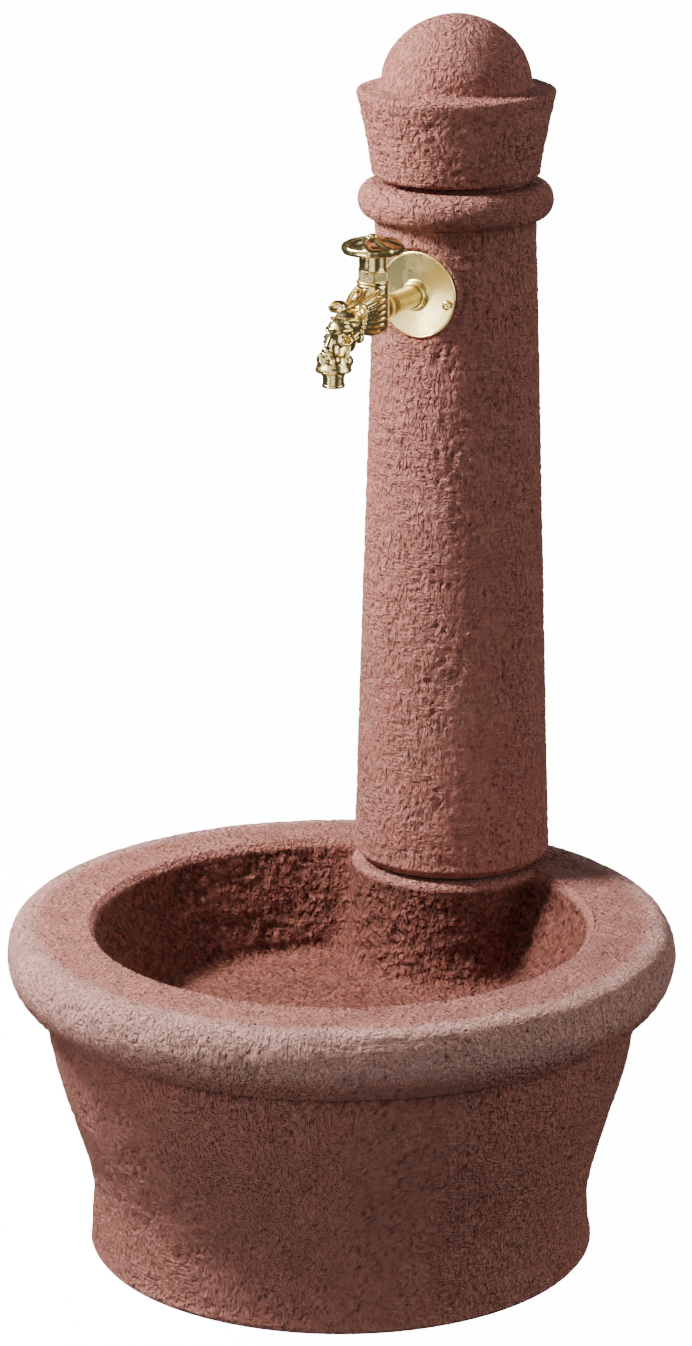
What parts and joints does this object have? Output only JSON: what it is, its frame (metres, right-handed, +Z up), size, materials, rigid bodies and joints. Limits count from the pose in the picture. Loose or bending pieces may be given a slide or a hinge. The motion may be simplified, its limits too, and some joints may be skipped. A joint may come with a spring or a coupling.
{
  "type": "drinking fountain",
  "caption": "Round stone basin with a tapered column, a domed cap and a brass animal-head tap turned by a petal handle.",
  "frame": {"origin": "middle of the basin's foot, on the ground", "axes": "+Z up; the tap faces -Y; the column stands towards +Y"},
  "size_m": [0.61, 0.61, 1.1],
  "materials": {
    "cast_stone": "rough-cast pink stone",
    "polished_brass": "polished",
    "stainless_steel": "brushed",
    "copper_pipe": "drawn copper",
    "black_rubber": "matte",
    "grey_plastic": "matte"
  },
  "bodies": {
    "stonework": {"basin": "cast_stone", "column": "cast_stone", "cap": "cast_stone", "tap_shank": "polished_brass", "shank_backnut": "polished_brass", "tap_elbow": "polished_brass", "inlet_elbow": "polished_brass", "inlet_union": "polished_brass", "rosette": "polished_brass", "rosette_screw_left": "polished_brass", "rosette_screw_right": "polished_brass", "tap_body": "polished_brass", "nozzle": "polished_brass", "bonnet": "polished_brass", "gland_nut": "polished_brass", "drain_body": "polished_brass", "drain_nut": "polished_brass", "column_dowel_left": "stainless_steel", "column_dowel_right": "stainless_steel", "drain_strainer": "stainless_steel", "drain_screw": "stainless_steel", "riser_pipe": "copper_pipe", "column_bed_seal": "black_rubber", "cap_bed_seal": "black_rubber", "bonnet_gasket": "black_rubber", "packing_ring": "black_rubber", "drain_seal": "black_rubber", "drain_washer": "black_rubber", "saddle_washer": "grey_plastic", "rosette_plug_left": "grey_plastic", "rosette_plug_right": "grey_plastic"},
    "valve_carrier": {"valve_jumper": "polished_brass", "valve_washer": "black_rubber"},
    "handle": {"spindle": "polished_brass", "handle": "polished_brass", "handle_screw": "polished_brass"}
  },
  "joints": [
    {"name": "stem_lift", "type": "slide", "parent": "stonework", "child": "valve_carrier", "axis": [0, 0, 1], "range_m": [0, 0.006]},
    {"name": "handle_turn", "type": "hinge", "parent": "valve_carrier", "child": "handle", "pos_m": [0, 0.0575, 0.867], "axis": [0, 0, 1], "range_deg": [0, 1080]}
  ],
  "couplings": [
    {"joint": "stem_lift", "follows": "handle_turn", "m_per_rad": 0.0003183}
  ]
}
